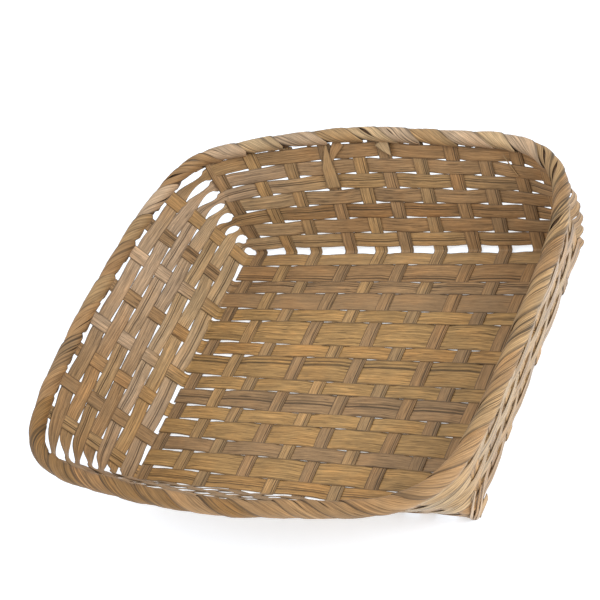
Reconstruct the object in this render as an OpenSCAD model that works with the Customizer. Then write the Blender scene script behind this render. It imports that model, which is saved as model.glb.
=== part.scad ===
// Shallow bamboo basket: a plain-woven base of flat splints, four flared walls woven
// with weavers that run right round, and a rolled border over a cane core.
// It stands on the floor (z = 0). The middle of the rim is over the origin, +X runs
// along the long side and +Y points to the back.

/* [Base] */
// Length of the base, from the left bend to the right bend
base_w = 275; // [240:1:290]
// Depth of the base at its left end, from the front bend to the back bend
base_d = 206; // [180:1:215]
// How much deeper the base is at its right end, where its rows fan out to the front
base_fan = 7; // [0:1:10]
// How far the middle of the base sits behind the middle of the rim
base_setback = 13; // [0:1:20]

/* [Splints] */
// Thickness of every splint
splint_t = 0.9; // [0.6:0.1:1.1]
// Width of the stakes, which cross the base and climb two walls
stake_w = 10.8; // [8:0.2:12]
// Width of the weavers, which run round the walls
weaver_w = 9.4; // [7:0.2:10]
// Slit on each side of a filler splint in the base
slit = 0.8; // [0.5:0.1:1.5]

/* [Walls] */
// Height of the middle of the rim above the base
wall_h = 78; // [70:1:95]
// Height of the lowest weaver's middle, as a share of the wall
first_weaver = 0.105; // [0.095:0.005:0.115]
// Step from one weaver to the next, as a share of the wall
weaver_step = 0.128; // [0.124:0.001:0.13]
// How far forward the stakes of the left wall lean on their way up
left_lean = 7; // [0:1:9]

/* [Rim] */
// Half the length of the rim, to the middle of its core
rim_half_w = 166; // [150:1:180]
// Half the depth of the rim, to the middle of its core
rim_half_d = 151.5; // [135:0.5:165]
// How much higher the left end of the rim stands than its middle
rim_rise = 7; // [0:1:10]
// Radius of the cane core inside the rim
core_r = 4.2; // [3:0.1:5]
// Width of the splint ends that are rolled over the core
border_w = 10.5; // [8:0.5:12]

/* [Hidden] */
SHORT_STAKES = 11; // run front to back, side by side along X
LONG_STAKES = 8; // run left to right, side by side along Y
WEAVERS = 7;
// Hand-laid unevenness: how far each short stake is off to the right at either bend and at
// the back rim, and how far each long one is off to the front
front_nudge = [-5, -2.5, -4.5, 2, 3.5, 3, 4.5, 4, 4.5, 1, 1.5];
back_nudge = [2, 4, 1, 6, 6, 2.5, 4.5, 6, 5, 5.5, 2.5];
top_nudge = [-7, -4, 0, 6, 6, 2.5, 4.5, 6, 5, 5.5, 2.5];
long_nudge = [0.5, -1, -3, 0.5, 3.5, 2.5, 1.5, 1];
short_inset = 10.4; // first stake's middle, from the bend
long_inset = 7;
clearance = 0.05; // between splints that cross
weave = splint_t + clearance; // a splint that goes over or under another is off by this
base_z = splint_t * 1.5 + clearance; // middle of the woven base
grip = 1.5; // a splint runs flat this far past the one it crosses
filler_inset = 1; // a filler stops this far inside the bend
rim_power = 4; // exponent of the superellipse that the rim follows
corner_steps = [0.25, 0.5, 0.75];
core_sides = 10;
core_rings = 64;
wrap_start = -150; // angle round the core, 0 at the top and 90 at the inside
wrap_steps = 8;
wrap_slope = 30; // angle between a rolled splint end and the rim

GOLDEN = [0.72, 0.55, 0.33];
BROWN = [0.55, 0.43, 0.31];
STRAW = [0.78, 0.66, 0.47];
TAN = [0.68, 0.55, 0.39];

function named(stem, i) = str(stem, i < 9 ? "_0" : "_", i + 1);

// ---- Places ----

short_pitch = (base_w - 2 * short_inset) / (SHORT_STAKES - 1);
long_pitch = (base_d - 2 * long_inset) / (LONG_STAKES - 1);
base_back = base_setback + base_d / 2;
base_front = base_setback - base_d / 2;

function lerp(a, b, t) = a + (b - a) * t;
function unit(v) = v / norm(v);

// Middle of short stake i along X where it is off its even place by a nudge
function short_x(i, nudge) = -base_w / 2 + short_inset + i * short_pitch + nudge[i];
// Middle of long stake i along Y (the first is at the back), and the front bend, at a place along X
function fan_at(x) = base_fan * (x / base_w + 0.5);
function long_y(i, x) =
    base_back - long_inset - i * long_pitch - long_nudge[i] - fan_at(x) * i / (LONG_STAKES - 1);
function front_bend(x) = base_front - fan_at(x);

// The rim is a superellipse in plan that climbs a little to the left
function rim_z(x) = base_z + wall_h - rim_rise * x / rim_half_w;
function rim_y_at(x) = rim_half_d * pow(1 - pow(abs(x) / rim_half_w, rim_power), 1 / rim_power);
function rim_x_at(y) = rim_half_w * pow(1 - pow(abs(y) / rim_half_d, rim_power), 1 / rim_power);
// Point of the rim at a bearing, clockwise from the back as seen from above
function rim_point(bearing) =
    let (
        s = sin(bearing),
        c = cos(bearing),
        r = pow(pow(abs(s) / rim_half_w, rim_power) + pow(abs(c) / rim_half_d, rim_power), -1 / rim_power)
    )
    [r * s, r * c, rim_z(r * s)];
function rim_outward(bearing) =
    let (along = rim_point(bearing + 0.5) - rim_point(bearing - 0.5))
    unit([-along.y, along.x, 0]);

// ---- Stations: where the wall stands, clockwise from the back wall's left stake ----
// Each one is [foot on the bend, top at the rim, direction of travel, number of the stake]

BACK = [for (i = [0:SHORT_STAKES - 1])
    let (foot = short_x(i, back_nudge), top = short_x(i, top_nudge))
    [[foot, base_back, base_z], [top, rim_y_at(top), rim_z(top)], [1, 0, 0]]];
RIGHT = [for (i = [0:LONG_STAKES - 1])
    let (foot = long_y(i, base_w / 2), x = rim_x_at(foot))
    [[base_w / 2, foot, base_z], [x, foot, rim_z(x)], [0, -1, 0]]];
FRONT = [for (i = [SHORT_STAKES - 1:-1:0])
    let (x = short_x(i, front_nudge))
    [[x, front_bend(x), base_z], [x, -rim_y_at(x), rim_z(x)], [-1, 0, 0]]];
LEFT = [for (i = [LONG_STAKES - 1:-1:0])
    let (foot = long_y(i, -base_w / 2), top = foot - left_lean, x = -rim_x_at(top))
    [[-base_w / 2, foot, base_z], [x, top, rim_z(x)], [0, 1, 0]]];
STAKES = concat(BACK, RIGHT, FRONT, LEFT);
STAKE_COUNT = len(STAKES);

function foot(station) = station[0];
function top(station) = station[1];
function travel(station) = station[2];
function bearing_of(p) = atan2(p.x, p.y);
// Turning from one bearing to another, clockwise
function turn(from, to) = (to - from + 720) % 360;

// The two edges of stake i, so that a weaver lies flat across it
function edge_station(i, side) =
    let (s = STAKES[i], shift = travel(s) * side * (stake_w / 2 + grip))
    [foot(s) + shift, top(s) + shift, travel(s), i];

// Corner between stake a and stake b: the foot rounds the bend, the top follows the rim
function corner_station(a, b, t) =
    let (
        p = foot(edge_station(a, 1)),
        q = foot(edge_station(b, -1)),
        corner = travel(STAKES[a]).x != 0 ? [q.x, p.y, base_z] : [p.x, q.y, base_z],
        from = bearing_of(top(edge_station(a, 1))),
        to = bearing_of(top(edge_station(b, -1)))
    )
    [
        lerp(lerp(p, corner, t), lerp(corner, q, t), t),
        rim_point(from + turn(from, to) * t),
        unit(lerp(travel(STAKES[a]), travel(STAKES[b]), t)),
        a + t
    ];

function is_corner(i) = travel(STAKES[i]) != travel(STAKES[(i + 1) % STAKE_COUNT]);
STATIONS = [for (i = [0:STAKE_COUNT - 1]) each concat(
    [edge_station(i, -1), edge_station(i, 1)],
    is_corner(i) ? [for (t = corner_steps) corner_station(i, (i + 1) % STAKE_COUNT, t)] : []
)];

// ---- Solids ----

// Triangles between rings of points, closed into a loop or capped at both ends
function ring_faces(rings, sides, loop) = [
    for (i = [0:rings - (loop ? 1 : 2)], k = [0:sides - 1])
        let (
            a = i * sides + k,
            b = i * sides + (k + 1) % sides,
            c = ((i + 1) % rings) * sides + (k + 1) % sides,
            d = ((i + 1) % rings) * sides + k
        )
        each [[a, c, b], [a, d, c]]
];
function cap_faces(rings, sides) = [
    for (k = [1:sides - 2])
        let (last = (rings - 1) * sides)
        each [[0, k, k + 1], [last, last + k + 1, last + k]]
];

// A strip of even width along a path, with mitred bends; across is the way its width runs
function strip_ring(path, i, across, width) =
    let (
        n = len(path),
        before = i == 0 ? path[1] - path[0] : path[i] - path[i - 1],
        after = i == n - 1 ? path[i] - path[i - 1] : path[i + 1] - path[i],
        a = unit(cross(before, across)),
        b = unit(cross(after, across)),
        face = (a + b) / (1 + a * b)
    )
    [for (c = [[-1, -1], [1, -1], [1, 1], [-1, 1]])
        path[i] + across * c[0] * width / 2 + face * c[1] * splint_t / 2];
module strip(path, across, width) {
    polyhedron(
        [for (i = [0:len(path) - 1]) each strip_ring(path, i, across, width)],
        concat(ring_faces(len(path), 4, false), cap_faces(len(path), 4))
    );
}

// Where a stake's top end meets the underside of the core
function stake_end(station) =
    let (rise = top(station) - foot(station))
    top(station) - unit(rise) * (core_r + clearance * 4);

// A short stake: up the front wall, across the base and up the back wall
module short_stake(i) {
    front = STAKES[SHORT_STAKES + LONG_STAKES + SHORT_STAKES - 1 - i];
    back = STAKES[i];
    color(i % 2 == 0 ? BROWN : TAN)
        strip([stake_end(front), foot(front), foot(back), stake_end(back)], [1, 0, 0], stake_w);
}

// Middle line of base row r along Y: even rows are long stakes and odd ones are fillers
function row_y(r, x) = (long_y(floor(r / 2), x) + long_y(ceil(r / 2), x)) / 2;
function row_point(r, x, z) = [x, row_y(r, x), z];
// Where short stake i crosses base row r
function crossing_x(r, i) =
    let (share = (row_y(r, short_x(i, back_nudge)) - base_front) / base_d)
    lerp(short_x(i, front_nudge), short_x(i, back_nudge), share);

// Flat stretches of base row r where it passes over and under the short stakes
function row_path(r) = [
    for (i = [0:SHORT_STAKES - 1])
        let (z = base_z + ((r + i) % 2 == 0 ? -weave : weave), x = crossing_x(r, i), h = stake_w / 2 + grip)
        each [row_point(r, x - h, z), row_point(r, x + h, z)]
];

// A long stake: down the left wall, across the base and up the right wall
module long_stake(i) {
    left = STAKES[STAKE_COUNT - 1 - i];
    right = STAKES[SHORT_STAKES + i];
    path = concat([stake_end(left), foot(left)], row_path(2 * i), [foot(right), stake_end(right)]);
    color(i % 2 == 0 ? GOLDEN : TAN) strip(path, [0, 1, 0], stake_w);
}

// A filler: a wider, loose splint between two long stakes, cut off square at the bends
module base_filler(i) {
    row = 2 * i + 1;
    width = long_y(i, 0) - long_y(i + 1, 0) - stake_w - 2 * slit;
    woven = row_path(row);
    last = len(woven) - 1;
    end = base_w / 2 - filler_inset;
    path = concat(
        [row_point(row, -end, woven[0].z)],
        [for (k = [1:last - 1]) woven[k]],
        [row_point(row, end, woven[last].z)]
    );
    color(i % 2 == 0 ? BROWN : GOLDEN) strip(path, [0, 1, 0], width);
}

// A weaver passes inside one stake and outside the next, all the way round
function weaver_side(station, w) =
    let (i = station[3], here = (floor(i) + w) % 2 == 0 ? 1 : -1)
    here * (1 - 2 * (i - floor(i)));
function weaver_ring(i, w) =
    let (
        n = len(STATIONS),
        s = STATIONS[i],
        up = unit(top(s) - foot(s)),
        inward = unit(cross(travel(s), up)),
        middle = lerp(foot(s), top(s), first_weaver + w * weaver_step)
            + inward * weave * weaver_side(s, w)
    )
    [for (c = [[-1, -1], [1, -1], [1, 1], [-1, 1]])
        middle + up * c[0] * weaver_w / 2 + inward * c[1] * splint_t / 2];

module side_weaver(w) {
    rings = len(STATIONS);
    color(w % 2 == 0 ? GOLDEN : BROWN)
        polyhedron([for (i = [0:rings - 1]) each weaver_ring(i, w)], ring_faces(rings, 4, true));
}

// The cane core that the ends of the stakes are rolled over
module rim_core() {
    points = [
        for (i = [0:core_rings - 1], k = [0:core_sides - 1])
            let (bearing = i * 360 / core_rings, a = k * 360 / core_sides)
            rim_point(bearing) + core_r * (rim_outward(bearing) * cos(a) + [0, 0, sin(a)])
    ];
    color(BROWN) polyhedron(points, ring_faces(core_rings, core_sides, true));
}

// One splint end rolled over the core, from the outside across the top to the inside
module border_end(i) {
    start = bearing_of(top(STAKES[i]));
    degree = norm(top(STAKES[i])) * PI / 180; // length of rim in one degree
    half = border_w / sin(wrap_slope) / 2 / degree;
    inner_r = core_r + clearance * 6;
    sweep = -2 * wrap_start * PI / 180 * inner_r / tan(wrap_slope) / degree;
    points = [
        for (k = [0:wrap_steps], c = [[-1, 0], [0, 0], [1, 0], [1, 1], [0, 1], [-1, 1]])
            let (
                t = k / wrap_steps,
                a = wrap_start * (1 - 2 * t),
                bearing = start + sweep * (t - 0.5) + half * c[0],
                away = [0, 0, cos(a)] - rim_outward(bearing) * sin(a)
            )
            rim_point(bearing) + away * (inner_r + splint_t * c[1])
    ];
    polyhedron(points, concat(ring_faces(wrap_steps + 1, 6, false), cap_faces(wrap_steps + 1, 6)));
}

module border(first, count) {
    color(STRAW) for (i = [first:first + count - 1]) border_end(i);
}

for (i = [0:SHORT_STAKES - 1]) short_stake(i);
for (i = [0:LONG_STAKES - 1]) long_stake(i);
for (i = [0:LONG_STAKES - 2]) base_filler(i);
for (i = [0:WEAVERS - 1]) side_weaver(i);
rim_core();
border(0, SHORT_STAKES);  // border_back
border(SHORT_STAKES, LONG_STAKES);  // border_right
border(SHORT_STAKES + LONG_STAKES, SHORT_STAKES);  // border_front
border(2 * SHORT_STAKES + LONG_STAKES, LONG_STAKES);  // border_left
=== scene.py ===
"""The looks of the woven bamboo basket: every splint of the CAD part is replaced by a
worked strip with its own bend, width, fibres and tone."""

import math

import bpy
import numpy as np
from mathutils import Matrix, Vector


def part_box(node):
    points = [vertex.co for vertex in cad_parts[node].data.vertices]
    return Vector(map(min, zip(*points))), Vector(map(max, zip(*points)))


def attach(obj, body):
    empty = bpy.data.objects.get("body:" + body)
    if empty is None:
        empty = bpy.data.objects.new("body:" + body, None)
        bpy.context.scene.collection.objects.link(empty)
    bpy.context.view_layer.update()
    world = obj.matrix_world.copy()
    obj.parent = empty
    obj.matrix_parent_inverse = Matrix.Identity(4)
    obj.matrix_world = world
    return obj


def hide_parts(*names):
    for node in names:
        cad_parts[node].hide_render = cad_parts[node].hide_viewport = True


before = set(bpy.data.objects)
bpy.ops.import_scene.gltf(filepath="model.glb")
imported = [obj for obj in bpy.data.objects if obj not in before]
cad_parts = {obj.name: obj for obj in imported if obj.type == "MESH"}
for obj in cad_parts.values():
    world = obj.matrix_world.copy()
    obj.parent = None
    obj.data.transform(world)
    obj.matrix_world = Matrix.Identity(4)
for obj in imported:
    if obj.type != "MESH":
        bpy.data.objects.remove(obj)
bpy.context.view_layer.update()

MM = 0.001
SHORT_STAKES = 11  # run front to back, the first at the left
LONG_STAKES = 8  # run left to right, the first at the back
ROWS = 2 * LONG_STAKES - 1  # of the base: long stakes with a filler between each two
WEAVERS = 7  # run round the walls, the first at the bottom

# ---- Places, read from the CAD frame ----


def node(stem, i):
    return f"{stem}_{i + 1:02d}"


STAKE_WIDTH = 10.8 * MM
SHORT_INSET = 10.4 * MM  # from the left bend to the middle of the first short stake
BASE_FAN = 7 * MM  # the rows fan out by this much towards the right end
LEFT_LEAN = 7 * MM  # the left wall's stakes lean this far forward
FILLER_INSET = 1 * MM  # from a bend to the end of a filler
BACK_INSET = 2.1 * MM  # from the back bend to the edge of the first long stake
FRONT_INSET = 0.6 * MM  # from the front bend to the edge of the last one
SETTLE = 0.4 * MM  # the splints are thinner here than in the CAD, so the base lies lower

CORE_RADIUS = 4.2 * MM
CORE_LOW, CORE_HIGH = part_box("rim_core")
RIM_HALF_W = CORE_HIGH.x - CORE_RADIUS
RIM_HALF_D = CORE_HIGH.y - CORE_RADIUS
RIM_RISE = (CORE_HIGH.z - CORE_LOW.z) / 2 - CORE_RADIUS
RIM_Z = (CORE_HIGH.z + CORE_LOW.z) / 2
RIM_POWER = 4

FILLER_LOW, FILLER_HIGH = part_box("base_filler_01")
BASE_Z = (FILLER_LOW.z + FILLER_HIGH.z) / 2 - SETTLE
BEND_X = FILLER_HIGH.x + FILLER_INSET
BEND_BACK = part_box("long_stake_01")[1].y + BACK_INSET
BEND_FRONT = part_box("long_stake_08")[0].y - FRONT_INSET + BASE_FAN


def short_places(nudges):
    """Middles of the short stakes, each off its even place by a nudge in millimetres."""
    pitch = 2 * (BEND_X - SHORT_INSET) / (SHORT_STAKES - 1)
    return [SHORT_INSET - BEND_X + i * pitch + n * MM for i, n in enumerate(nudges)]


FRONT_X = short_places([-5, -2.5, -4.5, 2, 3.5, 3, 4.5, 4, 4.5, 1, 1.5])
BACK_X = short_places([2, 4, 1, 6, 6, 2.5, 4.5, 6, 5, 5.5, 2.5])
TOP_X = short_places([-7, -4, 0, 6, 6, 2.5, 4.5, 6, 5, 5.5, 2.5])
LEFT_Y = [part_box(node("long_stake", i))[1].y - STAKE_WIDTH / 2 for i in range(LONG_STAKES)]


def fan_at(x):
    return BASE_FAN * (x / BEND_X + 1) / 2


def long_y(i, x):
    """Middle of long stake i along Y, at x."""
    return LEFT_Y[i] - fan_at(x) * i / (LONG_STAKES - 1)


def row_y(r, x):
    """Middle of base row r: even rows are long stakes and odd ones are fillers."""
    return (long_y(r // 2, x) + long_y((r + 1) // 2, x)) / 2


def front_bend(x):
    return BEND_FRONT - fan_at(x)


def crossing_x(r, i):
    """Where short stake i crosses base row r."""
    share = (row_y(r, BACK_X[i]) - BEND_FRONT) / (BEND_BACK - BEND_FRONT)
    return FRONT_X[i] + (BACK_X[i] - FRONT_X[i]) * share


FIRST_WEAVER = 0.105  # the lowest weaver's middle, as a share of the wall
WEAVER_STEP = 0.128

SPLINT = 0.62 * MM  # thickness
BASE_ROW_WAVE = 0.45 * MM  # how far a base row rises and dips at a crossing
BASE_STAKE_WAVE = 0.22 * MM
WALL_WEAVER_WAVE = 0.68 * MM
WALL_STAKE_WAVE = 0.2 * MM

# ---- Tones ----


def linear(r, g, b):
    """An 8-bit sRGB colour as linear light."""
    return [((c / 255 + 0.055) / 1.055) ** 2.4 for c in (r, g, b)]


TONES = {
    "g": linear(179, 144, 97),  # golden
    "o": linear(180, 139, 84),  # orange gold
    "y": linear(178, 141, 88),  # yellow brown
    "s": linear(191, 163, 124),  # pale straw
    "t": linear(172, 140, 98),  # tan
    "p": linear(190, 163, 133),  # pinkish grey
    "b": linear(166, 130, 88),  # brown
    "k": linear(162, 130, 92),  # grey brown
    "r": linear(158, 120, 76),  # reddish brown
    "n": linear(144, 108, 62),  # nut brown
    "d": linear(92, 66, 42),  # painted shade: cane darkened as if in shadow, for the rim's core
}
SHORT_TONES = "kgtkgktbkbb"
LONG_TONES = "gkyoyyko"
LEFT_END_TONES = "gkpkpbkt"  # of the long stakes, where they climb the left wall
FILLER_TONES = "bkyykyy"
# Each weaver's tones clockwise from the back wall's left end
WEAVER_TONES = [
    "sggbptbgtkps",
    "sbbkstbgktgs",
    "trrbptsbtbps",
    "skkbtstktkkp",
    "pggkptsgtbtp",
    "pkkbtstgktbp",
    "tbbbptstkkkp",
]
# Each side's splint ends clockwise, from the back one
BORDER_TONES = ("psptsptpspt", "btbttbtb", "bbbbnbnnrnn", "bkbtbtpb")


def tone_line(letters, shares):
    """Colours along a strip whose tones follow the letters, blended where they meet."""
    stops = np.array([TONES[c] for c in letters])
    if len(letters) == 1:
        return np.repeat(stops, len(shares), axis=0)
    at = np.asarray(shares) * (len(letters) - 1)
    return np.stack([np.interp(at, np.arange(len(letters)), stops[:, k]) for k in range(3)], axis=1)


# ---- Small helpers ----

SEEDS = {"short": 10, "long": 40, "filler": 70, "weaver": 300, "border": 500, "loose": 700, "core": 900}
RIPPLE_SCALES = (1, 0.53, 0.29)  # lengths and heights of the waves that make up a ripple
RIPPLE_HEIGHT = 1.2  # about how far they go together


def seeded(kind, i=0):
    return np.random.default_rng(SEEDS[kind] + i)


def unit(v):
    v = np.asarray(v, float)
    return v / np.maximum(np.linalg.norm(v, axis=-1, keepdims=True), 1e-12)


def smooth(t):
    t = np.clip(t, 0, 1)
    return t * t * (3 - 2 * t)


def ripple(rng, share, length, wave, amount):
    """Smooth random wobble along a strip, in whole waves so that a loop closes."""
    total = np.zeros(len(share))
    for scale in RIPPLE_SCALES:
        cycles = max(1, round(length / (wave * scale)))
        total += scale * np.sin(2 * np.pi * (cycles * share + rng.random()))
    return amount * total / RIPPLE_HEIGHT


def lengths_along(points):
    return np.concatenate([[0], np.cumsum(np.linalg.norm(np.diff(points, axis=0), axis=1))])


def tangents(points, loop):
    if loop:
        return unit(np.roll(points, -1, axis=0) - np.roll(points, 1, axis=0))
    return unit(np.gradient(points, axis=0))


# ---- One strip of bamboo ----

# Places across a strip, from one edge at -1 to the other at 1
COLUMNS = np.array([-1, -0.94, -0.76, -0.5, -0.25, 0, 0.25, 0.5, 0.76, 0.94, 1])
AROUND = np.concatenate([COLUMNS, COLUMNS[::-1]])  # over the top and back underneath
EDGE_ROUND = 1 - 0.75 * np.abs(COLUMNS) ** 14  # a strip thins to a quarter at its edges
RIDGE = 0.035 * MM  # spread of the heights of the ridges along a strip
CUP = 0.12 * MM  # how much higher a loose strip's edges lie than its middle
LINE_STRENGTHS = (0.55, 1.35)  # a strip's lines are between these, where 1 is the material's own
GROOVED = 0.4  # share of the strips with a dark double groove along them
GROOVE_PLACES = (-0.7, 0.6)  # where across them it lies
NO_GROOVE = 9  # a place that is far off any strip
SHORT_GROOVE = 0.5  # every short stake has a dark double line along it, between its middle and its right edge


def strip_points(rng, centre, across, face, half, cup, share, length):
    """Rings of points round a strip: the top columns, then the under side's in reverse."""
    ridges = rng.normal(0, RIDGE, len(COLUMNS))
    rows = []
    for s, round_off, ridge in zip(COLUMNS, EDGE_ROUND, ridges):
        lift = cup * (s * s - 0.35) + ridge + ripple(rng, share, length, wave=30 * MM, amount=0.02 * MM)
        flank = centre + across * (half * s)[:, None]
        rows.append((flank, lift, SPLINT / 2 * round_off))
    top = [f + face * (lift + t)[:, None] for f, lift, t in rows]
    under = [f + face * (lift - t)[:, None] for f, lift, t in reversed(rows)]
    return np.stack(top + under, axis=1)


def ring_quads(rings, sides, loop):
    """Corner numbers of the quads between rings, and of the two end faces."""
    i = np.arange(rings if loop else rings - 1)[:, None]
    k = np.arange(sides)[None, :]
    j, n = (i + 1) % rings, (k + 1) % sides
    corners = (i * sides + k, i * sides + n, j * sides + n, j * sides + k)
    quads = np.stack(np.broadcast_arrays(*corners), axis=-1).reshape(-1, 4)
    last = (rings - 1) * sides
    ends = [] if loop else [list(range(sides))[::-1], [last + c for c in range(sides)]]
    return quads, ends


def facing_out(points, quads, ends, first=0):
    """Faces numbered from first, turned over if they would make the solid inside out."""
    a, b, c, d = (points[quads[:, k]] - points.mean(axis=0) for k in range(4))
    volume = np.sum(a * np.cross(b, c)) + np.sum(a * np.cross(c, d))
    faces = (quads + first).tolist() + [[c + first for c in end] for end in ends]
    return faces if volume > 0 else [f[::-1] for f in faces]


def put_attribute(mesh, name, kind, field, values):
    attribute = mesh.attributes.new(name, kind, "POINT")
    attribute.data.foreach_set(field, np.asarray(values, np.float32).ravel())


def make_piece(name, points, faces, material, replaced):
    mesh = bpy.data.meshes.new(name)
    mesh.from_pydata([tuple(p) for p in points], [], faces)
    mesh.shade_smooth()
    mesh.materials.append(material)
    piece = bpy.data.objects.new(name, mesh)
    bpy.context.scene.collection.objects.link(piece)
    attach(piece, "root")
    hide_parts(*replaced)
    return piece


class Strips:
    """Strips that are gathered into one piece."""

    def __init__(self):
        self.points, self.faces, self.tone, self.fibre, self.place = [], [], [], [], []
        self.count = 0

    def add(self, rng, centre, across, face, half, tone, loop=False, cup=CUP, groove=None):
        """A strip along a centre line: across is the way its width runs and face is its top."""
        along = lengths_along(centre)
        length = along[-1]
        share = along / length
        rings = strip_points(rng, centre, across, face, half, cup, share, length)
        shade = 1 + ripple(rng, share, length, wave=90 * MM, amount=0.035) + rng.normal(0, 0.015)
        self.put(rng, rings, loop, tone * shade[:, None], along, half[:, None] * AROUND, groove)

    def put(self, rng, rings, loop, tone, along, across, groove=None, side=None):
        """Rings of points, with the tone and the distance along at each ring and the distance
        across at each point. Groove says where the dark lines are, and side where the painted seam shade of
        the edges is."""
        n, sides = rings.shape[:2]
        flat = rings.reshape(-1, 3)
        self.faces += facing_out(flat, *ring_quads(n, sides, loop), self.count)
        self.points.append(flat)
        self.count += len(flat)
        self.tone.append(np.repeat(tone, sides, axis=0))
        fibre = np.zeros((n, sides, 3))
        fibre[:, :, 0] = along[:, None]
        fibre[:, :, 1] = across
        fibre[:, :, 2] = rng.random() * 10
        self.fibre.append(fibre.reshape(-1, 3))
        place = np.zeros((n, sides, 3))
        place[:, :, 0] = AROUND if side is None else side
        place[:, :, 1] = rng.uniform(*LINE_STRENGTHS)
        if groove is None:
            groove = rng.uniform(*GROOVE_PLACES) if rng.random() < GROOVED else NO_GROOVE
        place[:, :, 2] = groove
        self.place.append(place.reshape(-1, 3))

    def build(self, name, material, replaced):
        """Makes the piece, with the loose ends that belong to it, in place of a CAD node."""
        for owner, tone, course in LOOSE_ENDS:
            if owner == name:
                loose_strip(self, seeded("loose"), tone, course)
        piece = make_piece(name, np.concatenate(self.points), self.faces, material, replaced)
        tone = np.concatenate(self.tone)
        rgba = np.concatenate([tone, np.ones((len(tone), 1))], axis=1)
        put_attribute(piece.data, "tone", "FLOAT_COLOR", "color", rgba)
        put_attribute(piece.data, "fibre", "FLOAT_VECTOR", "vector", np.concatenate(self.fibre))
        put_attribute(piece.data, "place", "FLOAT_VECTOR", "vector", np.concatenate(self.place))
        return piece


# ---- Bamboo material ----


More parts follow.
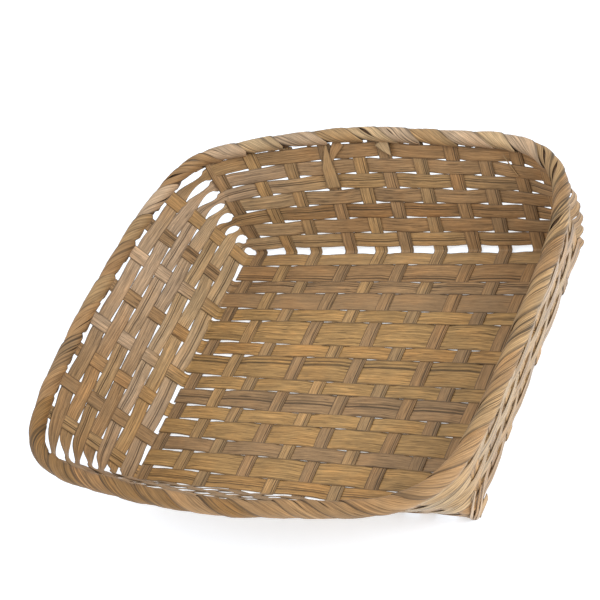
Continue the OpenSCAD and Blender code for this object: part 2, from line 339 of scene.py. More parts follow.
def bamboo(name, lines, edge, reach=1, fineness=1, roughness=0.55, sheen=0.1):
    """Split bamboo: fine fibres along the strip, dark pore lines, blotches and a dull shine.
    Lines is how dark the fibres are, and edge is the painted shade of a strip's edges, which stands
    in for the shadow in the seams between strips; reach and fineness make the fibres longer and narrower."""
    material = bpy.data.materials.new(name)
    material.use_nodes = True
    nodes, links = material.node_tree.nodes, material.node_tree.links
    nodes.clear()

    def add(kind, **settings):
        made = nodes.new(kind)
        for key, value in settings.items():
            setattr(made, key, value)
        return made

    def maths(operation, a, b):
        made = add("ShaderNodeMath", operation=operation)
        for socket, value in zip(made.inputs, (a, b)):
            if isinstance(value, (int, float)):
                socket.default_value = value
            else:
                links.new(value, socket)
        return made.outputs[0]

    def streaks(scale, detail, seed):
        """Noise that is stretched along the strip."""
        stretch = add("ShaderNodeVectorMath", operation="MULTIPLY")
        links.new(fibre.outputs["Vector"], stretch.inputs[0])
        stretch.inputs[1].default_value = scale
        noise = add("ShaderNodeTexNoise", noise_dimensions="3D")
        shift = add("ShaderNodeVectorMath", operation="ADD")
        links.new(stretch.outputs[0], shift.inputs[0])
        shift.inputs[1].default_value = (seed, seed * 1.7, seed * 2.3)
        links.new(shift.outputs[0], noise.inputs["Vector"])
        noise.inputs["Scale"].default_value = 1
        noise.inputs["Detail"].default_value = detail
        noise.inputs["Roughness"].default_value = 0.6
        return noise.outputs["Fac"]

    def ramp(value, low, high, at_low, at_high):
        """A shade that goes smoothly from one number to another as the value rises."""
        made = add("ShaderNodeMapRange", clamp=True, interpolation_type="SMOOTHSTEP")
        links.new(value, made.inputs["Value"])
        made.inputs["From Min"].default_value = low
        made.inputs["From Max"].default_value = high
        made.inputs["To Min"].default_value = at_low
        made.inputs["To Max"].default_value = at_high
        return made.outputs["Result"]

    tone = add("ShaderNodeAttribute", attribute_name="tone")
    fibre = add("ShaderNodeAttribute", attribute_name="fibre")
    place = add("ShaderNodeSeparateXYZ")
    links.new(add("ShaderNodeAttribute", attribute_name="place").outputs["Vector"], place.inputs[0])
    side, strength, groove_at = place.outputs

    broad = streaks((14 / reach, 850 * fineness, 1.3), 2, 1.1)
    fine = streaks((40 / reach, 2100 * fineness, 2.1), 2, 4.2)
    pores = streaks((60 / reach, 1400 * fineness, 3.7), 2, 7.9)
    grain = streaks((140, 1500, 6.3), 2, 9.3)
    blotch = streaks((35, 60, 5.1), 3, 12.4)

    # Each ramp has two values of its noise or place, and the shades that it gives at them
    broad_shade = ramp(broad, 0.36, 0.64, 1 - 0.22 * lines, 1 + 0.18 * lines)
    fine_shade = ramp(fine, 0.4, 0.6, 1 - 0.4 * lines, 1 + 0.3 * lines)
    pore_shade = ramp(pores, 0.34, 0.42, 1 - 0.75 * lines, 1)
    line_shade = maths("MULTIPLY", maths("MULTIPLY", broad_shade, fine_shade), pore_shade)
    line_shade = maths("ADD", maths("MULTIPLY", maths("SUBTRACT", line_shade, 1), strength), 1)
    # Painted shade: a strip's edges are darkened as if by the shadow in the seams between strips
    painted_seam_shade = ramp(maths("ABSOLUTE", side, 0), 0.8, 0.98, 1, edge)
    off = maths("SUBTRACT", side, groove_at)
    first = ramp(maths("ABSOLUTE", off, 0), 0.03, 0.13, 0.32, 1)
    second = ramp(maths("ABSOLUTE", maths("SUBTRACT", off, 0.28), 0), 0.02, 0.1, 0.46, 1)
    groove_shade = maths("MULTIPLY", first, second)
    blotch_shade = ramp(blotch, 0.3, 0.72, 0.88, 1.08)
    shade = maths("MULTIPLY", line_shade, maths("MULTIPLY", groove_shade, painted_seam_shade))
    shade = maths("MULTIPLY", shade, maths("MULTIPLY", blotch_shade, ramp(grain, 0.36, 0.64, 0.9, 1.09)))

    scaled = add("ShaderNodeVectorMath", operation="SCALE")
    links.new(tone.outputs["Color"], scaled.inputs[0])
    links.new(shade, scaled.inputs["Scale"])
    warm = add("ShaderNodeMix", data_type="RGBA", blend_type="MULTIPLY")
    links.new(ramp(blotch, 0.42, 0.7, 0, 0.6), warm.inputs["Factor"])
    links.new(scaled.outputs[0], warm.inputs["A"])
    warm.inputs["B"].default_value = (1.0, 0.9, 0.78, 1)

    shader = add("ShaderNodeBsdfPrincipled")
    links.new(warm.outputs["Result"], shader.inputs["Base Color"])
    links.new(ramp(fine, 0.3, 0.7, roughness + 0.12, roughness - 0.1), shader.inputs["Roughness"])
    shader.inputs["Specular IOR Level"].default_value = 0.4
    shader.inputs["Sheen Weight"].default_value = sheen
    shader.inputs["Sheen Roughness"].default_value = 0.5

    ridges = maths("ADD", maths("MULTIPLY", broad, 0.6), maths("MULTIPLY", fine, 0.4))
    height = maths("ADD", ridges, maths("ADD", maths("MULTIPLY", pore_shade, 0.4), groove_shade))
    bump = add("ShaderNodeBump")
    bump.inputs["Strength"].default_value = 0.4
    bump.inputs["Distance"].default_value = 0.35 * MM
    links.new(height, bump.inputs["Height"])
    links.new(bump.outputs["Normal"], shader.inputs["Normal"])
    out = add("ShaderNodeOutputMaterial")
    links.new(shader.outputs[0], out.inputs["Surface"])
    return material


# ---- The walls' shape ----


def rim_z(x):
    return RIM_Z - RIM_RISE * np.asarray(x) / RIM_HALF_W


def rim_y_at(x):
    return RIM_HALF_D * (1 - (abs(x) / RIM_HALF_W) ** RIM_POWER) ** (1 / RIM_POWER)


def rim_x_at(y):
    return RIM_HALF_W * (1 - (abs(y) / RIM_HALF_D) ** RIM_POWER) ** (1 / RIM_POWER)


# Where the hand-made rim strays from its even curve: the bearing and half width of each
# stretch in degrees, and how far out it goes in millimetres
RIM_STRAYS = (
    (-4, 14, 3.5),
    (24, 10, -1.5),
    (58, 8, -1),
    (129, 11, 4.5),
    (152, 12, -2.5),
    (176, 12, 1.5),
    (210, 12, -3.5),
    (231, 6, 2),
    (268, 10, 1.5),
    (312, 7, 4.5),
    (325, 10, -1.5),
)


def rim_points(bearings):
    """Points of the rim's middle line at bearings in radians, clockwise from the back."""
    bearings = np.asarray(bearings, float)
    s, c = np.sin(bearings), np.cos(bearings)
    r = ((np.abs(s) / RIM_HALF_W) ** RIM_POWER + (np.abs(c) / RIM_HALF_D) ** RIM_POWER) ** (-1 / RIM_POWER)
    for place, reach, out in RIM_STRAYS:
        off = (np.degrees(bearings) - place + 180) % 360 - 180
        r = r + out * MM * np.exp(-((off / reach) ** 2))
    return np.stack([r * s, r * c, rim_z(r * s)], axis=-1)


def rim_slope(curve, at):
    """How fast a side of the rim turns in, as a tangent, at a place along it."""
    step = 1 * MM
    return (curve(at + step) - curve(at - step)) / (2 * step)


def bearing_of(p):
    return math.atan2(p[0], p[1])


def rim_going(top):
    """The rim's direction at a point of it, clockwise from above."""
    bearing, step = bearing_of(top), 0.01
    return unit(rim_points(bearing + step) - rim_points(bearing - step))


def on_base(x, y):
    return np.array([x, y, BASE_Z])


def on_rim(x, y):
    return rim_points(bearing_of((x, y)))


def wall_stakes():
    """(foot, top, wall) of each stake end, clockwise from the back wall's left one."""
    found = []
    for foot, top in zip(BACK_X, TOP_X):
        found.append((on_base(foot, BEND_BACK), on_rim(top, rim_y_at(top)), "back"))
    for i in range(LONG_STAKES):
        y = long_y(i, BEND_X)
        found.append((on_base(BEND_X, y), on_rim(rim_x_at(y), y), "right"))
    for x in reversed(FRONT_X):
        found.append((on_base(x, front_bend(x)), on_rim(x, -rim_y_at(x)), "front"))
    for foot in reversed(LEFT_Y):
        top = foot - LEFT_LEAN
        found.append((on_base(-BEND_X, foot), on_rim(-rim_x_at(top), top), "left"))
    return found


STAKES = wall_stakes()
STAKE_COUNT = len(STAKES)

TRAVEL = {"back": (1, 0, 0), "right": (0, -1, 0), "front": (-1, 0, 0), "left": (0, 1, 0)}
EDGE = STAKE_WIDTH / 2 + 1 * MM  # a weaver stays straight this far past a stake's middle
EDGE_SHARE = 0.22  # and that is this share of the way round a corner
# Powers that shape how the cornerness rises and falls on the way round a corner
CORNER_FULLNESS = 0.8
BACK_LEFT_FULLNESS = 0.5
BACK_LEFT_LATE = 1.9  # it peaks late here, nearer the back wall
FRONT_LEFT_EARLY = 3  # and early here, nearer the front wall


def station(q):
    """Foot, top and cornerness of the wall at ring position q, where whole numbers are stakes.
    Cornerness is 0 on the straight walls and rises to 1 on the way round a corner."""
    a = int(math.floor(q)) % STAKE_COUNT
    b = (a + 1) % STAKE_COUNT
    t = q - math.floor(q)
    foot_a, top_a, wall_a = STAKES[a]
    foot_b, top_b, wall_b = STAKES[b]
    if wall_a == wall_b:
        foot = foot_a + (foot_b - foot_a) * t
        top = top_a + (top_b - top_a) * t
        return foot, on_rim(top[0], top[1]), 0.0
    shift_a = np.array(TRAVEL[wall_a]) * EDGE
    shift_b = -np.array(TRAVEL[wall_b]) * EDGE
    top_shift_a, top_shift_b = rim_going(top_a) * EDGE, -rim_going(top_b) * EDGE
    if t < EDGE_SHARE:
        return foot_a + shift_a * t / EDGE_SHARE, top_a + top_shift_a * t / EDGE_SHARE, 0.0
    if t > 1 - EDGE_SHARE:
        return foot_b + shift_b * (1 - t) / EDGE_SHARE, top_b + top_shift_b * (1 - t) / EDGE_SHARE, 0.0
    t = (t - EDGE_SHARE) / (1 - 2 * EDGE_SHARE)
    start_foot, end_foot = foot_a + shift_a, foot_b + shift_b
    corner = on_base(end_foot[0], start_foot[1])
    if wall_a in ("right", "left"):
        corner = on_base(start_foot[0], end_foot[1])
    foot = start_foot * (1 - t) ** 2 + corner * 2 * t * (1 - t) + end_foot * t * t
    start, end = bearing_of(top_a + top_shift_a), bearing_of(top_b + top_shift_b)
    turn = (end - start) % (2 * math.pi)
    top = rim_points(start + turn * t)
    if wall_a == "left":
        return foot, top, math.sin(math.pi * t ** BACK_LEFT_LATE) ** BACK_LEFT_FULLNESS
    if wall_b == "left":
        t = 1 - (1 - t) ** FRONT_LEFT_EARLY
    return foot, top, math.sin(math.pi * t) ** CORNER_FULLNESS


# ---- Loose ends ----

# Bits that have worked loose: the piece each belongs to, its tone and its course over the
# wall. Each point of a course is a ring position, a share of the wall, and a half width and
# a height above the wall's middle in millimetres, below zero on the outside.
LOOSE_ENDS = (
    (
        "short_strip_04",
        "t",
        ((3.02, 0.57, 5.3, 1.5), (3, 0.74, 5, 1.9), (3.05, 0.84, 2.6, 2.1), (3.1, 0.94, 0.8, 1.6)),
    ),
    ("short_strip_04", "b", ((3.12, 0.8, 1.4, 1.4), (3.3, 0.88, 3.2, 1.5), (3.52, 0.955, 4.4, 1.3))),
    ("border_strips_back", "s", ((5, 0.955, 6.8, 1.9), (5.1, 0.9, 4, 2.3), (5.22, 0.84, 0.4, 2.4))),
    ("weaver_strip_05", "t", ((8.66, 0.88, 0.5, 1.5), (8.8, 0.8, 0.5, 1.7), (8.98, 0.7, 0.4, 1.5))),
    ("long_strip_08", "p", ((18.8, 0.02, 1.3, -1.9), (18.5, 0.2, 1.2, -2.2), (18.2, 0.42, 0.8, -1.7))),
    ("long_strip_08", "b", ((18.72, 0.02, 1.4, -2.1), (18.35, 0.16, 1.3, -2.5), (17.95, 0.36, 0.9, -1.8))),
    ("long_strip_08", "p", ((18.6, 0.02, 1.4, -2.2), (18.15, 0.14, 1.2, -2.5), (17.75, 0.32, 0.8, -1.8))),
    ("long_strip_08", "g", ((18.45, 0.05, 4, -1.6), (18.05, 0.06, 4.2, -1.8), (17.75, 0.065, 4.2, -2.2))),
)


LOOSE_STEPS = 8  # rings of points for each point of a course


def loose_strip(strips, rng, tone, course):
    """Adds a strip of one tone that follows a course over the wall."""
    course = np.array(course)
    t = np.linspace(0, len(course) - 1, LOOSE_STEPS * len(course))
    q, share, half, lift = (np.interp(t, np.arange(len(course)), course[:, k]) for k in range(4))
    step = 0.05
    centre, face = [], []
    for at, up_wall, off in zip(q, share, lift):
        foot, top, _ = station(at)
        inward = unit(np.cross(station(at + step)[1] - station(at - step)[1], top - foot))
        centre.append(foot + (top - foot) * up_wall + inward * off * MM)
        face.append(inward)
    centre, face = np.array(centre), np.array(face)
    going = tangents(centre, False)
    face = unit(face - going * np.sum(face * going, axis=1)[:, None])
    across = unit(np.cross(going, face))
    strips.add(rng, centre, across, face, half * MM, tone_line(tone, t), groove=NO_GROOVE)


# ---- Weavers ----

WEAVER_STEPS = 14  # rings of points from one stake to the next
WEAVER_ROUND = 1.1  # about how far a weaver runs round the basket, in metres
WIDEST = 11 * MM
WEAVER_GAP = 0.2 * MM  # is left between two weavers
PINCH = 0.45 * MM  # a weaver is this much narrower where it crosses a stake
WEAVER_CUP = -0.1 * MM  # its edges curl out
LOWEST_EXTRA = 1.8 * MM  # the lowest weaver is this much wider along the left wall
LEFT_START, LEFT_FADE = 0.85, 0.15  # where along half the base the left wall's strips begin
BACK_START, BACK_FADE = 0.3, 0.3  # and where along half the rim's depth the back ones do
LEFT_CLOSER = 0.0035  # the left wall's weavers are closer by this share of the wall
CORNER_LEAN = math.radians(-15)  # the strips tip inwards where they turn a corner
CORNER_BULGE = 8.5 * MM  # the back right corner bellies out
CORNER_NARROW = 0.3  # a strip narrows by this share at a corner
CRESCENT = 0.16  # and by this much more at the back left one


def weaver_side(q, w):
    """+1 where the weaver passes inside a stake and -1 where it passes outside."""
    a = math.floor(q)
    here = 1 if (a + w) % 2 == 0 else -1
    t = smooth((q - a - EDGE_SHARE) / (1 - 2 * EDGE_SHARE))
    return here * (1 - 2 * t)


def blur_loop(values, radius):
    """A round-the-loop moving average, weighted towards the middle."""
    weights = np.hanning(2 * radius + 3)[1:-1]
    weights = weights / weights.sum()
    total = np.zeros_like(values)
    for k, weight in zip(range(-radius, radius + 1), weights):
        total += weight * np.roll(values, k, axis=0)
    return total


def weaver_strip(w, strips, rng):
    qs = np.arange(STAKE_COUNT * WEAVER_STEPS) / WEAVER_STEPS
    share = qs / STAKE_COUNT
    foot, top, corner = (np.array(part) for part in zip(*[station(q) for q in qs]))
    rise = top - foot
    slant = np.linalg.norm(rise, axis=1)
    left = smooth((-foot[:, 0] / BEND_X - LEFT_START) / LEFT_FADE)
    height = FIRST_WEAVER + w * (WEAVER_STEP - LEFT_CLOSER * left)
    lift = ripple(rng, share, WEAVER_ROUND, wave=120 * MM, amount=0.28 * MM) / slant
    line = foot + rise * (height + lift)[:, None]
    if w == 0:
        line[:, 2] -= LOWEST_EXTRA / 2 * left
    softness = 2 if w < 3 else 3  # the upper weavers turn the corners more softly
    line = blur_loop(line, softness)
    back = smooth((line[:, 1] / RIM_HALF_D - BACK_START) / BACK_FADE)
    back_right, back_left = back * (line[:, 0] > 0), back * (line[:, 0] < 0)

    # The strip leans with the wall, but tips inwards at the corners
    going = tangents(line, True)
    outward = unit(np.stack([-going[:, 1], going[:, 0], np.zeros(len(qs))], axis=1))
    lean = np.arctan2(np.sum(rise * outward, axis=1), rise[:, 2])
    lean = blur_loop(lean * (1 - corner) + CORNER_LEAN * corner, 3)
    up = unit(np.cos(lean)[:, None] * [0, 0, 1] + np.sin(lean)[:, None] * outward)
    up = unit(up - going * np.sum(up * going, axis=1)[:, None])
    inward = unit(np.cross(going, up))
    side = np.array([weaver_side(q, w) for q in qs])
    bulge = CORNER_BULGE * corner * back_right * math.sin(math.pi * height[0])
    centre = line + inward * (WALL_WEAVER_WAVE * side - bulge)[:, None]

    # It fills its pitch, but narrows at the corners and where it crosses a stake
    narrow = (CORNER_NARROW + CRESCENT * back_left) * corner
    full = np.minimum(slant * WEAVER_STEP - WEAVER_GAP, WIDEST) * (1 - narrow)
    if w == 0:
        full = full + LOWEST_EXTRA * left * (1 - corner)
    uneven = ripple(rng, share, WEAVER_ROUND, wave=45 * MM, amount=0.09 * MM)
    half = (full - PINCH * side ** 4) / 2 + uneven
    tones = tone_line(WEAVER_TONES[w] + WEAVER_TONES[w][0], share)
    strips.add(rng, centre, up, inward, half, tones, loop=True, cup=WEAVER_CUP)


def build_weavers(material):
    for w in range(WEAVERS):
        strips = Strips()
        weaver_strip(w, strips, seeded("weaver", w))
        strips.build(f"weaver_strip_{w + 1:02d}", material, [node("side_weaver", w)])


# ---- Stakes and base rows ----

SPACING = 1.8 * MM  # from one ring of points to the next along a strip
SHORT_BEND, LONG_BEND, FILLER_BEND = 1.4 * MM, 2 * MM, 1.2 * MM  # how far the bends are rounded
END_GAP = 0.2 * MM  # between the end of a stake and the core
# A strip keeps level this far past the middle of what it goes over, and under
SHORT_FLATS = (3 * MM, 2.5 * MM)
ROW_FLATS = (9.5 * MM, 5.8 * MM)
STAKE_CUP, FILLER_CUP = 0.08 * MM, 0.06 * MM
FILLER_SPARE = 0.2 * MM  # half of how much wider a filler is than the room between two stakes
BACK_SLACK, FRONT_SLACK = 0.8 * MM, 1.6 * MM  # the fillers leave slits at the base's left end
SLACK_START, SLACK_LENGTH = -60 * MM, 50 * MM  # which open from this place along X
TUCKED = (1, 2, 3)  # the fillers whose left ends turn up behind the lowest weaver
TUCK_PAST, TUCK_OUT, TUCK_UP = 2.2 * MM, 1.6 * MM, 3.6 * MM  # to the turn, then out and up


def rounded_line(corners, radius):
    """Points along a flat line of corners with its bends rounded, and each bend's number among them."""
    points = [np.array(corners[0], float)]
    bends = []

    def run_to(end):
        last = points[-1]
        steps = max(1, int(np.linalg.norm(end - last) / SPACING))
        points.extend([last + (end - last) * k / steps for k in range(1, steps + 1)])

    for before, here, after in zip(corners, corners[1:], corners[2:]):
        here = np.array(here, float)
        start = here + unit(before - here) * radius
        end = here + unit(after - here) * radius
        run_to(start)
        bends.append(len(points) + 2)
        for t in np.linspace(0, 1, 6)[1:]:
            points.append(start * (1 - t) ** 2 + here * 2 * t * (1 - t) + end * t * t)
    run_to(np.array(corners[-1], float))
    return np.array(points), bends


def wave_along(distance, crossings, over_flat, under_flat):
    """Offset along a strip, which is level for a while each side of what it goes over or under."""
    crossings = sorted(crossings)
    result = np.zeros(len(distance))
    for (a, va), (b, vb) in zip(crossings, crossings[1:]):
        inside = (distance >= a) & (distance <= b)
        flat_a = over_flat if va > 0 else under_flat
        flat_b = over_flat if vb > 0 else under_flat
        room = max(b - a - flat_a - flat_b, 1e-6)
        result[inside] = va + (vb - va) * smooth((distance[inside] - a - flat_a) / room)
    result[distance < crossings[0][0]] = crossings[0][1]
    result[distance > crossings[-1][0]] = crossings[-1][1]
    return result


def stake_end(foot, top):
    """Where a stake meets the rim's core."""
    rise = top - foot
    return foot + rise * (1 - (CORE_RADIUS + END_GAP) / np.linalg.norm(rise))


def wall_crossings(foot, top, q, start, direction):
    """Distances along the strip, from its bend, at which it crosses the weavers, and the sides."""
    slant = np.linalg.norm(top - foot)
    found = []
    for w in range(WEAVERS):
        inside = 1 if (q + w) % 2 == 0 else -1
        at = start + direction * slant * (FIRST_WEAVER + w * WEAVER_STEP)
        found.append((at, -inside * WALL_STAKE_WAVE))
    return found


def flat_strip(rng, strips, line, offsets, axis, place, half, tones, cup, twist=0, groove=None):
    """Adds a strip whose width runs along X (axis 0) or Y (axis 1) and lies at a place along it."""
    distance = lengths_along(line)
    share = distance / distance[-1]
    direction = unit(np.gradient(line, axis=0))
    normal = np.stack([-direction[:, 1], direction[:, 0]], axis=1)
    place = place + ripple(rng, share, distance[-1], wave=150 * MM, amount=0.25 * MM)
    centre = np.insert(line + normal * offsets[:, None], axis, place, axis=1)
    face = np.insert(normal, axis, 0, axis=1)
    across = np.zeros(centre.shape)
    across[:, axis] = 1
    twist = (twist + np.zeros(len(line)))[:, None]
    across, face = unit(across + face * twist), unit(face - across * twist)
    halves = half + ripple(rng, share, distance[-1], wave=60 * MM, amount=0.12 * MM)
    strips.add(rng, centre, across, face, halves, tone_line(tones, share), cup=cup, groove=groove)


def wall_share(z):
    """How far up a wall a height is."""
    return np.clip((z - BASE_Z) / (RIM_Z - BASE_Z), 0, 1)


def short_stake_strip(i, strips, rng):
    front_q = SHORT_STAKES + LONG_STAKES + SHORT_STAKES - 1 - i
    front_foot, front_top, _ = STAKES[front_q]
    back_foot, back_top, _ = STAKES[i]
    course = [stake_end(front_foot, front_top), front_foot, back_foot, stake_end(back_foot, back_top)]
    line, bends = rounded_line([p[[1, 2]] for p in course], SHORT_BEND)
    distance = lengths_along(line)
    first, second = distance[bends[0]], distance[bends[1]]
    crossings = wall_crossings(front_foot, front_top, front_q, first, -1)
    crossings += [(first, 0), (second, 0)]
    for r in range(ROWS):
        over = 1 if (r + i) % 2 == 0 else -1
        y = row_y(r, BACK_X[i])
        crossings.append((first + y - front_foot[1], over * BASE_STAKE_WAVE))
    crossings += wall_crossings(back_foot, back_top, i, second, 1)
    offsets = wave_along(distance, crossings, *SHORT_FLATS)
    share = np.clip((line[:, 0] - front_foot[1]) / (BEND_BACK - front_foot[1]), 0, 1)
    lean = (TOP_X[i] - BACK_X[i]) * wall_share(line[:, 1]) * (line[:, 0] > 0)
    place = FRONT_X[i] + (BACK_X[i] - FRONT_X[i]) * share + lean
    front_twist, back_twist = rim_slope(rim_y_at, FRONT_X[i]), rim_slope(rim_y_at, TOP_X[i])
    twist = -wall_share(line[:, 1]) * np.where(line[:, 0] < 0, front_twist, back_twist)
    half, tones = STAKE_WIDTH / 2, SHORT_TONES[i]
    flat_strip(rng, strips, line, offsets, 0, place, half, tones, STAKE_CUP, twist, SHORT_GROOVE)


def row_crossings(r, start):
    """Distances along base row r, whose left bend is at start, of the short stakes, and the sides."""
    found = []
    for j in range(SHORT_STAKES):
        under = -1 if (r + j) % 2 == 0 else 1
        found.append((start + crossing_x(r, j) + BEND_X, under * BASE_ROW_WAVE))
    return found


def long_stake_strip(i, strips, rng):
    left_q, right_q = STAKE_COUNT - 1 - i, SHORT_STAKES + i
    left_foot, left_top, _ = STAKES[left_q]
    right_foot, right_top, _ = STAKES[right_q]
    course = [stake_end(left_foot, left_top), left_foot, right_foot, stake_end(right_foot, right_top)]
    line, bends = rounded_line([p[[0, 2]] for p in course], LONG_BEND)
    distance = lengths_along(line)
    first, second = distance[bends[0]], distance[bends[1]]
    crossings = wall_crossings(left_foot, left_top, left_q, first, -1)
    crossings += [(first, 0), (second, 0)] + row_crossings(2 * i, first)
    crossings += wall_crossings(right_foot, right_top, right_q, second, 1)
    offsets = wave_along(distance, crossings, *ROW_FLATS)
    lean = LEFT_LEAN * wall_share(line[:, 1]) * (line[:, 0] < 0)
    place = long_y(i, np.clip(line[:, 0], -BEND_X, BEND_X)) - lean
    left_twist, right_twist = rim_slope(rim_x_at, left_top[1]), rim_slope(rim_x_at, right_top[1])
    twist = -wall_share(line[:, 1]) * np.where(line[:, 0] < 0, left_twist, right_twist)
    half, tones = STAKE_WIDTH / 2, LEFT_END_TONES[i] * 2 + LONG_TONES[i] * 9
    flat_strip(rng, strips, line, offsets, 1, place, half, tones, STAKE_CUP, twist)


def filler_strip(i, strips, rng):
    low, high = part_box(node("base_filler", i))
    corners = [(low.x, BASE_Z), (high.x, BASE_Z)]
    if i in TUCKED:
        bend = low.x - TUCK_PAST
        corners = [(bend - TUCK_OUT, BASE_Z + TUCK_UP), (bend, BASE_Z), (high.x, BASE_Z)]
    line, _ = rounded_line(corners, FILLER_BEND)
    distance = lengths_along(line)
    crossings = row_crossings(2 * i + 1, -BEND_X - line[-1, 0] + distance[-1])
    offsets = wave_along(distance, crossings, *ROW_FLATS)
    x = line[:, 0]
    slack = (BACK_SLACK if i < 2 else FRONT_SLACK) * smooth((SLACK_START - x) / SLACK_LENGTH)
    half = (long_y(i, x) - long_y(i + 1, x) - STAKE_WIDTH) / 2 + FILLER_SPARE - slack
    place, tones = row_y(2 * i + 1, x), FILLER_TONES[i]
    flat_strip(rng, strips, line, offsets, 1, place, half, tones, FILLER_CUP)


def build_base(material):
    for i in range(SHORT_STAKES):
        strips = Strips()
        short_stake_strip(i, strips, seeded("short", i))
        strips.build(f"short_strip_{i + 1:02d}", material, [node("short_stake", i)])
    for i in range(LONG_STAKES):
        strips = Strips()
        long_stake_strip(i, strips, seeded("long", i))
        strips.build(f"long_strip_{i + 1:02d}", material, [node("long_stake", i)])
    for i in range(LONG_STAKES - 1):
        strips = Strips()
        filler_strip(i, strips, seeded("filler", i))
        strips.build(f"filler_strip_{i + 1:02d}", material, [node("base_filler", i)])


# ---- Rim ----

RIM_BEARINGS = np.linspace(0, 2 * np.pi, 1441)
RIM_DISTANCE = lengths_along(rim_points(RIM_BEARINGS))
RIM_LENGTH = RIM_DISTANCE[-1]
WRAP_SLOPE = math.radians(27)  # between a rolled end and the rim
WRAP_REACH = math.radians(158)  # how far round the core it goes, each way from the top
WRAP_START = 0.32  # it passes its own stake at this share of its run
WRAP_STEPS = 30
WRAP_RADIUS = CORE_RADIUS + 0.25 * MM
END_COVER = 1.22  # how much of the rim it covers, as a share of the way to the next end
STRAND_COUNTS = (2, 3, 3, 4)  # the bend splits an end into one of these numbers of strands
# How far apart the strands of some ends gape, where along their run and over how much of it
PARTED = {0: 0.7 * MM, 4: 0.8 * MM, 5: 0.8 * MM, 10: 1.2 * MM, 12: 1.9 * MM, 37: 1 * MM}
GAPE_AT, GAPE_REACH = 0.55, 0.14
END_TAPER = 0.25  # a strand's tips are narrower by this share
LAY_LOW, LAY_RISE = 0.1 * MM, 0.85 * MM  # an end rises across its width, over its neighbour


def rim_frame(distance):
    """Middle line and outward direction of the rim at distances clockwise from the back."""
    step = 0.004
    bearings = np.interp(np.mod(distance, RIM_LENGTH), RIM_DISTANCE, RIM_BEARINGS)
    going = rim_points(bearings + step) - rim_points(bearings - step)
    outward = unit(np.stack([-going[..., 1], going[..., 0], np.zeros(going.shape[:-1])], axis=-1))
    return rim_points(bearings), outward


def tube_point(distance, angle, radius):
    """A point on a tube round the rim; angle 0 is its top and 90 degrees its inside."""
    centre, outward = rim_frame(distance)
    up = np.array([0, 0, 1.0])
    return centre + radius[..., None] * (np.cos(angle)[..., None] * up - np.sin(angle)[..., None] * outward)


def stake_distance(q):
    """How far along the rim stake end q meets it, clockwise from the back."""
    top = STAKES[q % STAKE_COUNT][1]
    return np.interp(bearing_of(top) % (2 * math.pi), RIM_BEARINGS, RIM_DISTANCE)


def border_strip(q, tone, strips, rng):
    """One splint end, rolled over the core and split into strands by the bend. The last one
    before a corner has two parts, to fill it."""
    gap = (stake_distance(q + 1) - stake_distance(q)) % RIM_LENGTH
    parts = 2 if STAKES[q][2] != STAKES[(q + 1) % STAKE_COUNT][2] else 1
    for part in range(parts):
        here = stake_distance(q) + gap * part / parts
        slope = WRAP_SLOPE * rng.uniform(0.9, 1.12)
        full = END_COVER * gap / parts * math.sin(slope)
        count = 2 if q in PARTED else int(rng.choice(STRAND_COUNTS))
        for k in range(count):
            side = (2 * k + 1) / count - 1
            spread = PARTED.get(q, 0) * np.sign(side)
            width = full / count * rng.uniform(1, 1.15)
            lean = slope * rng.uniform(0.95, 1.05)
            border_strand(here, lean, full, full / 2 * side, width, spread, tone, strips, rng)


def border_strand(here, slope, full, middle, width, spread, tone, strips, rng):
    """A strand that goes from the outside across the top to the inside of the rim."""
    t = np.linspace(0, 1, WRAP_STEPS)
    angle = WRAP_REACH * (2 * t - 1)
    run = 2 * WRAP_REACH * WRAP_RADIUS / math.tan(slope)
    path = here + run * (t - WRAP_START)
    narrowing = 1 - END_TAPER * np.abs(2 * t - 1) ** 4
    half = width / 2 * narrowing + ripple(rng, t, run, wave=30 * MM, amount=0.1 * MM)
    bulge = ripple(rng, t, run, wave=40 * MM, amount=0.15 * MM) + rng.uniform(-0.12, 0.15) * MM
    gape = spread * np.exp(-(((t - GAPE_AT) / GAPE_REACH) ** 2))
    faces_out = np.concatenate([EDGE_ROUND, -EDGE_ROUND[::-1]])
    own = half[:, None] * AROUND
    across = own + (middle * narrowing + gape)[:, None]
    side = 2 * across / full
    lay = LAY_LOW + LAY_RISE * smooth((side + 1) / 1.7)
    r = WRAP_RADIUS + lay + SPLINT / 2 * faces_out + bulge[:, None]
    r = r + np.interp(AROUND, COLUMNS, rng.normal(0, 0.04 * MM, len(COLUMNS)))
    s = path[:, None] + across * math.sin(slope)
    a = angle[:, None] - across * math.cos(slope) / WRAP_RADIUS
    points = tube_point(s, a, r)
    shade = 1 + ripple(rng, t, run, wave=60 * MM, amount=0.04) + rng.normal(0, 0.045)
    tone = np.array(TONES[tone]) * shade[:, None]
    # Painted shade: the edges between the strands of an end also get some of the seam shade
    side = np.maximum(np.abs(side), 0.9 * np.abs(AROUND))
    strips.put(rng, points, False, tone, t * run / math.cos(slope), own, side=side)


def build_border(material):
    first = 0
    for side, tones in zip(("back", "right", "front", "left"), BORDER_TONES):
        strips = Strips()
        for k, tone in enumerate(tones):
            border_strip(first + k, tone, strips, seeded("border", first + k))
        strips.build(f"border_strips_{side}", material, [f"border_{side}"])
        first += len(tones)


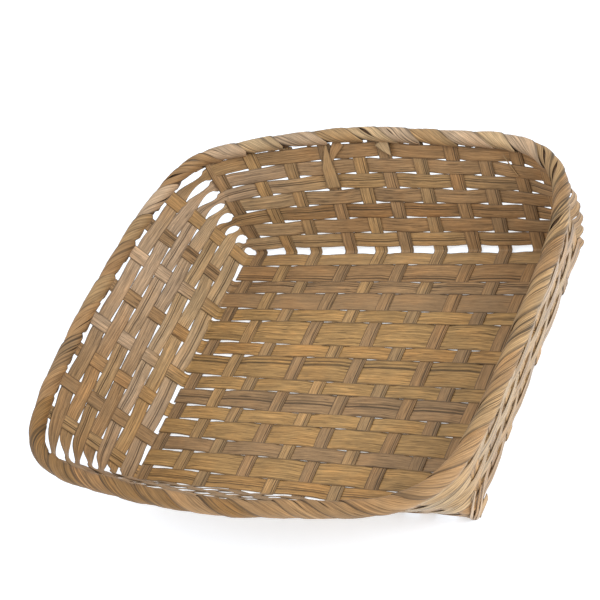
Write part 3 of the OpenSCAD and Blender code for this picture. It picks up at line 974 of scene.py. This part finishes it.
def build_core(material):
    rings, sides = 360, 12
    distance = np.arange(rings) / rings * RIM_LENGTH
    angle = np.arange(sides) / sides * 2 * np.pi
    s, a = np.meshgrid(distance, angle, indexing="ij")
    rng = seeded("core")
    shrink = 0.15 * MM  # keeps its bumps clear of the splint ends
    radius = CORE_RADIUS - shrink + rng.normal(0, 0.08 * MM, s.shape)
    points = tube_point(s, a, radius).reshape(-1, 3)
    faces = facing_out(points, *ring_quads(rings, sides, True))
    piece = make_piece("rim_cane", points, faces, material, ["rim_core"])
    # Painted shade: the core gets the dark tone of cane in shadow, for where it shows between the splint
    # ends
    tone = np.tile(TONES["d"] + [1], (len(points), 1))
    put_attribute(piece.data, "tone", "FLOAT_COLOR", "color", tone)
    fibre = np.stack([s, a * radius, np.zeros(s.shape)], axis=-1)
    put_attribute(piece.data, "fibre", "FLOAT_VECTOR", "vector", fibre)
    place = np.tile([0, 1, NO_GROOVE], (len(points), 1))
    put_attribute(piece.data, "place", "FLOAT_VECTOR", "vector", place)


# ---- Studio ----

BASKET_MIDDLE = (0, 0, 0.03)


def build_floor():
    mesh = bpy.data.meshes.new("floor")
    reach = 6
    corners = [(-reach, -reach, 0), (reach, -reach, 0), (reach, reach, 0), (-reach, reach, 0)]
    mesh.from_pydata(corners, [], [(0, 1, 2, 3)])
    floor = bpy.data.objects.new("floor", mesh)
    material = bpy.data.materials.new("pale_floor")
    material.use_nodes = True
    shader = material.node_tree.nodes["Principled BSDF"]
    shader.inputs["Base Color"].default_value = (0.78, 0.86, 0.97, 1)
    shader.inputs["Roughness"].default_value = 0.9
    shader.inputs["Specular IOR Level"].default_value = 0.0
    shader.inputs["Emission Color"].default_value = (1, 1, 1, 1)
    shader.inputs["Emission Strength"].default_value = 0.47
    mesh.materials.append(material)
    bpy.context.scene.collection.objects.link(floor)


def soft_light(name, place, size, power):
    """A round lamp that shines on the middle of the basket."""
    data = bpy.data.lights.new(name, "AREA")
    data.shape = "DISK"
    data.size = size
    data.energy = power
    lamp = bpy.data.objects.new(name, data)
    lamp.location = place
    towards = Vector(BASKET_MIDDLE) - Vector(place)
    lamp.rotation_euler = towards.to_track_quat("-Z", "Y").to_euler()
    bpy.context.scene.collection.objects.link(lamp)


def build_lights():
    world = bpy.data.worlds.new("studio")
    world.use_nodes = True
    background = world.node_tree.nodes["Background"]
    background.inputs["Color"].default_value = (1, 1, 1, 1)
    background.inputs["Strength"].default_value = 0.73
    bpy.context.scene.world = world
    soft_light("key", (1.5, -0.3, 1.05), size=0.8, power=18.5)
    soft_light("fill", (-1.2, -0.3, 1.2), size=1.0, power=6)


def build_camera():
    """The view of the photo: from the front right, above, and turned about its own axis."""
    data = bpy.data.cameras.new("camera")
    data.sensor_width = 36
    data.lens = 110.6
    data.clip_start, data.clip_end = 0.05, 20
    camera = bpy.data.objects.new("camera", data)
    place = Vector((0.6916, -0.6088, 0.8333))
    forward = Vector((-0.5783, 0.516, -0.6318)).normalized()
    level = forward.cross(Vector((0, 0, 1))).normalized()
    down = forward.cross(level)
    roll = math.radians(34.92)
    right = level * math.cos(roll) + down * math.sin(roll)
    upward = -(down * math.cos(roll) - level * math.sin(roll))
    turn = Matrix((right, upward, -forward)).transposed()
    camera.matrix_world = Matrix.Translation(place) @ turn.to_4x4()
    bpy.context.scene.collection.objects.link(camera)
    bpy.context.scene.camera = camera


splint_material = bamboo("bamboo_splint", lines=0.62, edge=0.48)
weaver_material = bamboo("bamboo_weaver", lines=0.6, edge=0.55)
border_material = bamboo(
    "bamboo_border", lines=0.62, edge=0.36, reach=2, fineness=1.4, roughness=0.66, sheen=0.05
)
build_base(splint_material)
build_weavers(weaver_material)
build_core(border_material)
build_border(border_material)
build_floor()
build_lights()
build_camera()
bpy.context.scene.view_settings.view_transform = "Standard"
